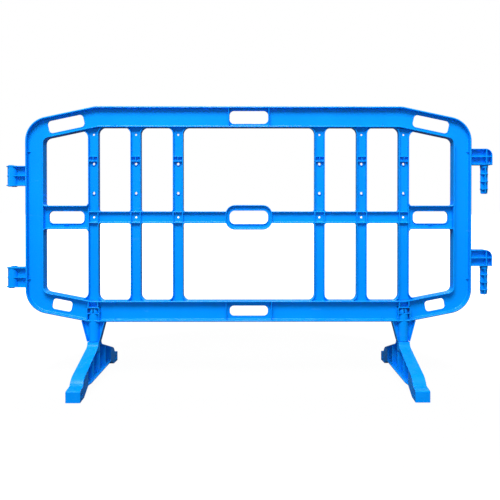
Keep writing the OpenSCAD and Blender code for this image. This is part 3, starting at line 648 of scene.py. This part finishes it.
def socket(name):
    """A link socket: a barrel with a crown at each end, three plates round it and a web to the stile.
    The crown's height goes with the sine of the angle round the barrel, cut off high and low, so that it
    rises at front and back."""
    made = Moulding()
    low, high = node_box(name)
    depth = high[1] - low[1]
    axis = low[0] - centre_x + SOCKET_PLATE_R
    z0, z1 = low[2] + COLLAR_H, high[2] - COLLAR_H
    mid = (z0 + z1) / 2
    steps, bore_rim, barrel_rim = 64, 1.0, 2.0
    angle = np.radians(np.arange(steps) * 360 / steps)
    crown = COLLAR_H * np.clip((np.abs(np.sin(angle)) - 0.55) / 0.3, 0.15, 1)
    section = np.concatenate([
        arc((SOCKET_BORE + bore_rim, z1 - bore_rim), bore_rim, 180, 90, 3),
        arc((BARREL_R - barrel_rim, z1 - barrel_rim), barrel_rim, 90, 0, 4),
        arc((BARREL_R - barrel_rim, z0 + barrel_rim), barrel_rim, 0, -90, 4),
        arc((SOCKET_BORE + bore_rim, z0 + bore_rim), bore_rim, 270, 180, 3)])
    at_end = np.abs(section[:, 1] - mid) > (z1 - z0) / 2 - 3
    lift = np.where(section[:, 1] > mid, 1.0, -1.0) * at_end
    flat = (axis, 0) + section[None, :, :1] * np.stack([np.cos(angle), np.sin(angle)], -1)[:, None]
    made.skin(place(flat, section[None, :, 1] + crown[:, None] * lift, PLAN), 0.5, True)

    def plate(z, r, half):
        """A plate from the stile with a round tip, flattened at front and back."""
        tip = math.degrees(math.asin(half / r))
        nose = arc((axis, 0), r, 180 - tip, 180 + tip, 16)
        outline = np.concatenate([nose, [(-half_w, -half), (-half_w, half)]])
        made.slab(outline, [round_hole((axis, 0), SOCKET_BORE + 0.3)], z, z + WALL_T, axes=PLAN)

    plate(z0, SOCKET_PLATE_R, depth / 2)
    plate(mid - WALL_T / 2, BARREL_R + 2.2, BARREL_R - 1.5)
    plate(z1 - WALL_T, SOCKET_PLATE_R, depth / 2)
    near, far = axis + SOCKET_BORE + 1, -half_w + 2
    made.slab([(near, z0 + 1), (far, z0 + 1), (far, z1 - 1), (near, z1 - 1)], [], -WEB_T / 2, WEB_T / 2)
    return panel_piece(made, name + "_moulding", name)


def hook(name):
    """A hook body: a wall along its underside, tip and top, a web, an upright rib near the pin's axis and
    one at half height."""
    made = Moulding()
    low, high = node_box(name)
    axis = node_box(name + "_pin")[:, 0].mean() - centre_x
    x0, x1, z0, z1 = half_w - 2, high[0] - centre_x, low[2], high[2]
    depth = high[1] - low[1]
    wall = rounded([(x0, z0), (x1, z0), (x1, z1), (x0, z1)], [0, 0, HOOK_R, 0])
    made.carry(wall, flange_section(depth, WALL_T))
    web = [(x0, z0 + LAP), (x1 - LAP, z0 + LAP), (x1 - LAP, z1 - LAP), (x0, z1 - LAP)]
    made.slab(rounded(web, [0, 0, HOOK_R - LAP, 0]), [], -WEB_T / 2, WEB_T / 2)
    mid = (z0 + z1) / 2
    made.rib((x0, mid), (x1 - 1, mid), WALL_T, depth - 0.4)
    upright = axis + HOOK_RIB_SHIFT
    made.rib((upright, z0 + 1), (upright, z1 - 1), WALL_T, depth - 0.8)
    return panel_piece(made, name + "_moulding", name)


def hook_pin(name):
    """A hook's pin: two blades crossed on the axis that taper to round tips, a root collar, and guide discs
    with round rims."""
    made = Moulding()
    low, high = node_box(name)
    axis, top, tip = (low[0] + high[0]) / 2 - centre_x, high[2], low[2]
    disc_r = (high[0] - low[0]) / 2
    shoulder, root = tip + BLADE_TAPER_L, top + 1
    for shift, depth, axes in ((axis, 0.0, FRONT), (0.0, axis, SIDE)):
        blade = [
            (shift - BLADE_TIP_HALF, tip), (shift + BLADE_TIP_HALF, tip), (shift + BLADE_HALF, shoulder),
            (shift + BLADE_HALF, root), (shift - BLADE_HALF, root), (shift - BLADE_HALF, shoulder)]
        blade = rounded(blade, [BLADE_TIP_R, BLADE_TIP_R, 0, 0, 0, 0])
        made.slab(blade, [], depth - WALL_T / 2, depth + WALL_T / 2, BLADE_RIM_R, axes)
    discs = [top - 2 * WALL_T - k * DISC_PITCH for k in (1, 2, 3)]
    rim = disc_r - RIM_R
    for z0, z1 in [(top - PIN_ROOT_H, top)] + [(z, z + WALL_T) for z in discs]:
        edge = [arc((rim, z0 + RIM_R), RIM_R, -90, 0, 3), arc((rim, z1 - RIM_R), RIM_R, 0, 90, 3)]
        made.turned(np.concatenate(edge), (axis, 0), 0.6)
    return panel_piece(made, name + "_moulding", name)


def foot_post(side, name):
    """A foot post: a bored tube under a rim plate, gussets on both sides, a boxed window over the rim,
    and the bar's flanges run on down."""
    made = Moulding()
    x = side * post_x
    lip, tube_top = 1.2, post_rim - RIB_T + LAP / 4
    inner, outer = POST_BORE + lip, POST_R - lip
    tube = np.concatenate([
        arc((inner, post_low + lip), lip, 180, 270, 3), arc((outer, post_low + lip), lip, 270, 360, 3),
        arc((outer, tube_top - lip), lip, 0, 90, 3), arc((inner, tube_top - lip), lip, 90, 180, 3)])
    made.turned(tube, (x, 0), 0.3, True, 64)
    for d in (-1, 1):
        path = np.array([(x + d * GUSSET_FOOT, post_low), (x + d * GUSSET_TOP, ground_clear + TIP_T)])
        made.carry(path if d > 0 else path[::-1], flange_section(GUSSET_D, WALL_T))
        wing = np.array([
            (x + d * (POST_R - 1), post_low + 0.5), (x + d * (GUSSET_FOOT - LAP), post_low + 0.5),
            (x + d * (GUSSET_TOP - LAP), ground_clear + LAP), (x + d * (POST_R - 1), ground_clear + LAP)])
        made.slab(wing if d > 0 else wing[::-1], [], -WEB_T / 2, WEB_T / 2)
        wall = x + d * (POST_R + WALL_T / 2)
        made.rib((wall, ground_clear + TIP_T / 2), (wall, window_top + RIB_T), WALL_T, frame_d - 0.4)
        flange = x + d * (bar_w - FLANGE_T) / 2
        made.rib((flange, window_top), (flange, rail_in_low - TIP_T / 2),
                 FLANGE_T - FLANGE_DRAFT, frame_d - 0.6)
    over = window_top + RIB_T / 2
    made.rib((x - POST_R - WALL_T, over), (x + POST_R + WALL_T, over), RIB_T, frame_d - 0.2)
    rim_plate = box_points(2 * (POST_R + WALL_T), frame_d - 0.2, (x, 0))
    bore = round_hole((x, 0), POST_BORE + 0.2)
    made.slab(rim_plate, [bore], post_rim - RIB_T, post_rim - 0.2, 0.5, PLAN)
    return panel_piece(made, name + "_moulding", name)


# The foot, in its own side view with Y across and Z up
FOOT_T, STRAP_W, STRAP_LOW_W, BASE_W, BLOCK_W = 5.0, 46.5, 50.0, 58.0, 55.0
NECK_L, SHOULDER = 44.0, 18.0
BLOCK_H, BLOCK_L, ARCH_H, STRAP_LOW, COLUMN_DROP = 42.0, 55.0, 27.0, 72.8, 51.0
FOOT_RIB, NECK_GAP, LEDGE_END = 88.0, 1.0, 30.0
BEND_BACK, BLOCK_TOP_L, BLOCK_RISE = 51.0, 39.0, 7.5
PEG_Y, PEG_Z, PEG_R = 252.0, 21.0, 8.0
STRAP_RIM_R, ARCH_R, COLUMN_FOOT_R = 1.5, 8.0, 14.0
CREST_RADII = (0.0, 5.3, 4.0, 58.0, 24.0, 0.0)  # along the strap from the ground to the neck
END_RIM_R, END_BACK = 0.05, 0.25  # the solid ends' edges, and their step back from the strap's
STEM_PLAY, SNAP_LIP, STEM_SLOT = 0.4, 1.4, 2.5
GATE_RING = np.array([(1.8, -2.0), (3.7, -2.0), (3.7, 0.2), (3.2, 0.7), (1.8, 0.7)])
neck_h = frame["joints"][0]["pos_m"][2] * 1000
foot_half = np.ptp(node_box("left_foot")[:, 1]) / 2
neck_half = NECK_L / 2
heel = foot_half - BLOCK_L
arch_half = heel - 2 * ARCH_H
strap_end = foot_half - BEND_BACK
block_top = foot_half - BLOCK_TOP_L
shoulder_h = neck_h - SHOULDER
crest = np.array([
    (foot_half, 0), (foot_half, BLOCK_H), (block_top, BLOCK_H + BLOCK_RISE), (strap_end, STRAP_LOW),
    (neck_half + 0.8 * FOOT_T, shoulder_h), (neck_half, neck_h - NECK_GAP)])
leg = rounded(crest, CREST_RADII)


def crest_height(y):
    """Height of the strap's top over a distance from the foot's middle, read off its rounded side view."""
    return np.interp(np.abs(y), leg[::-1, 0], leg[::-1, 1])


def foot_reach(y):
    """Half the strap's width: it grows from the neck to the strap's lower end, and faster from there to the
    block's front."""
    half_widths = np.array([STRAP_W, STRAP_LOW_W, BLOCK_W]) / 2
    return np.interp(np.abs(y), [neck_half, strap_end, foot_half], half_widths)


def foot(side, name):
    """A foot: a strap carried up from the ground at both ends to a plate at the neck, a ledge under the
    arch, ribs on a thin web, solid ends, a round neck column and a split snap stem."""
    made = Moulding()
    for strap in (leg, leg[::-1] * (-1, 1)):
        section = bead_section(0.0, FOOT_T, STRAP_W, STRAP_RIM_R)
        made.carry(strap, section, axes=SIDE, reach=foot_reach(strap[:, 0]))
    neck_top = neck_h - NECK_GAP
    made.slab(box_points(STRAP_W - 0.6, NECK_L - 0.6), [], neck_top - FOOT_T, neck_top, THIN_RIM_R, PLAN)
    under = np.array([(heel, 0.3), (arch_half, ARCH_H), (arch_half - LEDGE_END, ARCH_H)])
    under = rounded(np.concatenate([under * (-1, 1), under[::-1]]), [0, ARCH_R, 0, 0, ARCH_R, 0], 6)
    out = np.abs(under[:, 0])
    ledge = np.interp(out, [arch_half - LEDGE_END, arch_half], [BASE_W / 2, foot_reach(arch_half)])
    ledge = np.where(out > arch_half, foot_reach(out), ledge)
    made.carry(under, bead_section(0.0, FOOT_T, BASE_W, STRAP_RIM_R), axes=SIDE, reach=ledge)
    half = np.concatenate([np.linspace(arch_half, neck_half + FOOT_T, 10), np.linspace(neck_half, 0, 4)])
    high = np.concatenate([half, -half[-2::-1]])
    high = np.stack([high, crest_height(high) - FOOT_T / 2], -1)
    web = np.concatenate([[(-arch_half, ARCH_H + 1), (arch_half, ARCH_H + 1)], high])
    made.slab(web, [], -FOOT_T / 2, FOOT_T / 2, axes=SIDE)
    ends = [(arch_half, strap_end), (strap_end, foot_half - 2)]
    for d in (-1, 1):
        for near, far in ends:
            low = np.array([near, heel, far] if near < heel < far else [near, far])
            floor = np.stack([low, np.interp(low, [arch_half, heel], [ARCH_H + 1, 0.4])], -1)
            high = np.linspace(far, near, 16)
            roof = np.stack([high, crest_height(high) - FOOT_T / 2], -1)
            outline = np.concatenate([floor, roof]) * (d, 1)
            holes = [round_hole((d * PEG_Y, PEG_Z), PEG_R)] if near < PEG_Y < far else []
            made.slab(outline if d > 0 else outline[::-1], holes, -STRAP_W / 2, STRAP_W / 2, END_RIM_R,
                      SIDE, lambda y: foot_reach(y) - END_BACK)
        y = d * (block_top + foot_half) / 2
        made.turned(GATE_RING + (0, crest_height(y)), (0, y), 0.0, True, 24)
    for y in (-FOOT_RIB, 0.0, FOOT_RIB):
        high = crest_height(y) - 2 if y else neck_h - COLUMN_DROP + 4
        made.rib((y, ARCH_H + 2), (y, high), FOOT_T, 2 * foot_reach(y) - 1.5, SIDE)
    r, low = STRAP_W / 2 - 0.4, neck_h - COLUMN_DROP
    bowl = arc((r - COLUMN_FOOT_R, low + COLUMN_FOOT_R), COLUMN_FOOT_R, -90, 0, 8)
    column = np.concatenate([[(r - COLUMN_FOOT_R - 1, low)], bowl, [(r, neck_h - 3)]])
    made.turned(column, (0, 0))
    stem_r, snap_r, lip_low = POST_BORE - STEM_PLAY, POST_BORE + SNAP_LIP, post_rim + STEM_PLAY
    angle = np.radians(np.linspace(-90, 90, 25))
    section = np.array([
        (stem_r, neck_h - 3), (stem_r, lip_low - 0.1), (snap_r - 0.5, lip_low),
        (snap_r, lip_low + 0.6), (snap_r, lip_low + 5.4), (snap_r - 0.6, lip_low + 6.4),
        (snap_r * 0.9, window_top - 5.0), (snap_r * 0.72, window_top - 1.6),
        (snap_r * 0.6, window_top - 0.6)])
    for d in (-1, 1):
        x = np.maximum(section[:, :1] * np.cos(angle), STEM_SLOT)
        y = section[:, :1] * np.sin(angle)
        made.skin(place(np.stack([d * x, y], -1), section[:, 1:], PLAN), 0.3, False)
    x = frame["joints"][0 if side < 0 else 1]["pos_m"][0] * 1000
    return made.finish(name + "_moulding", name, foot_plastic, "foot_plastic", x, [name])


outer_frame()
middle_rail(-1, "left_middle_rail")
middle_rail(1, "right_middle_rail")
centre_grip()
side_grip("left_grip")
side_grip("right_grip")
for number in range(6):
    bar(number, 1, f"upper_bar_{number + 1}")
    bar(number, -1, f"lower_bar_{number + 1}")
for level in ("upper", "lower"):
    socket(level + "_socket")
    hook(level + "_hook")
    hook_pin(level + "_hook_pin")
foot_post(-1, "left_post")
foot_post(1, "right_post")
foot(-1, "left_foot")
foot(1, "right_foot")


# Area lights: name, place, length and width in metres, and power in watts
LIGHTS = (
    ("key", (-0.6, -3.1, 4.6), 3.0, 2.2, 378.0),
    ("side_light", (-8.2, -3.3, 1.9), 4.0, 4.0, 80.0),
    ("low_fill", (0.4, -5.0, 0.5), 5.0, 0.9, 52.0),
    ("back_light", (0.9, 6.7, 6.5), 4.0, 4.0, 420.0),
)
LIT_AT = np.array([0.0, 0.0, 0.65])  # the place that every light points at

# What the floor and the surround show: white to the camera, and little light for the plastic
FLOOR_COLOUR, FLOOR_WHITE, WHITE_NEAR = (0.06, 0.06, 0.06, 1), 1.56, 0.62
AROUND, IN_MIRROR = 0.31, 0.07

# The camera: its place from the panel's middle, and its focal length and picture's width in pixels
EYE, FOCAL, PICTURE_W, SENSOR = (22.6, -2281.0, 734.0), 550.6, 500, 36.0
EYE_TILT, EYE_TURN = math.radians(89.52), math.radians(-0.29)
LENS_SHIFT = (-0.0142, -0.0866)


def aim(lamp, target):
    """Turns a lamp so that its beam, along its own -Z, points at a place."""
    x, y, z = np.array(lamp.location) - target
    lamp.rotation_euler = (math.atan2(math.hypot(x, y), z), 0, math.atan2(y, x) + math.pi / 2)


def studio():
    """A white floor and surround that throw little light back, a soft key light from above in front, a weak
    one from the left, a low fill that is not mirrored in the plastic, and one from above behind."""
    scene = bpy.context.scene
    scene.view_settings.view_transform = "Standard"

    mesh = bpy.data.meshes.new("floor")
    mesh.from_pydata([(-30, -30, 0), (30, -30, 0), (30, 30, 0), (-30, 30, 0)], [], [(0, 1, 2, 3)])
    floor = bpy.data.objects.new("floor", mesh)
    scene.collection.objects.link(floor)
    paint = bpy.data.materials.new("floor_paint")
    paint.use_nodes = True
    tree = paint.node_tree
    surface = tree.nodes["Principled BSDF"]
    surface.inputs["Base Color"].default_value = FLOOR_COLOUR
    surface.inputs["Roughness"].default_value = 1.0
    surface.inputs["Specular IOR Level"].default_value = 0.0
    seen = Shade(tree).node("ShaderNodeLightPath", output="Is Camera Ray")
    at = Shade(tree).node("ShaderNodeTexCoord", output="Object")
    away = at.node("ShaderNodeVectorMath", {"operation": "LENGTH"}, {0: at}, "Value").between(0.9, 3.0)
    matt = Shade(tree, surface.outputs[0])
    white = seen.node("ShaderNodeEmission", {}, {"Color": (1, 1, 1, 1), "Strength": FLOOR_WHITE})
    share = seen * (WHITE_NEAR + (1 - WHITE_NEAR) * away)
    mixed = seen.node("ShaderNodeMixShader", {}, {0: share, 1: matt, 2: white})
    tree.links.new(mixed.socket, tree.nodes["Material Output"].inputs["Surface"])
    mesh.materials.append(paint)

    world = bpy.data.worlds.new("surround")
    world.use_nodes = True
    scene.world = world
    tree = world.node_tree
    backdrop = tree.nodes["Background"]
    backdrop.inputs["Color"].default_value = (1, 1, 1, 1)
    seen = Shade(tree).node("ShaderNodeLightPath", output="Is Camera Ray")
    mirrored = Shade(tree).node("ShaderNodeLightPath", output="Is Glossy Ray")
    strength = seen * (1 - AROUND) - mirrored * (AROUND - IN_MIRROR) + AROUND
    tree.links.new(strength.socket, backdrop.inputs["Strength"])

    for name, at, length, width, power in LIGHTS:
        light = bpy.data.lights.new(name, "AREA")
        light.shape, light.size, light.size_y, light.energy = "RECTANGLE", length, width, power
        lamp = bpy.data.objects.new(name, light)
        lamp.location = at
        lamp.visible_glossy = name != "low_fill"
        scene.collection.objects.link(lamp)
        aim(lamp, LIT_AT)

    lens = bpy.data.cameras.new("camera")
    lens.sensor_width, lens.lens = SENSOR, FOCAL / PICTURE_W * SENSOR
    lens.shift_x, lens.shift_y = LENS_SHIFT
    camera = bpy.data.objects.new("camera", lens)
    camera.location = ((centre_x + EYE[0]) / 1000, EYE[1] / 1000, EYE[2] / 1000)
    camera.rotation_euler = (EYE_TILT, 0, EYE_TURN)
    scene.collection.objects.link(camera)
    scene.camera = camera


studio()
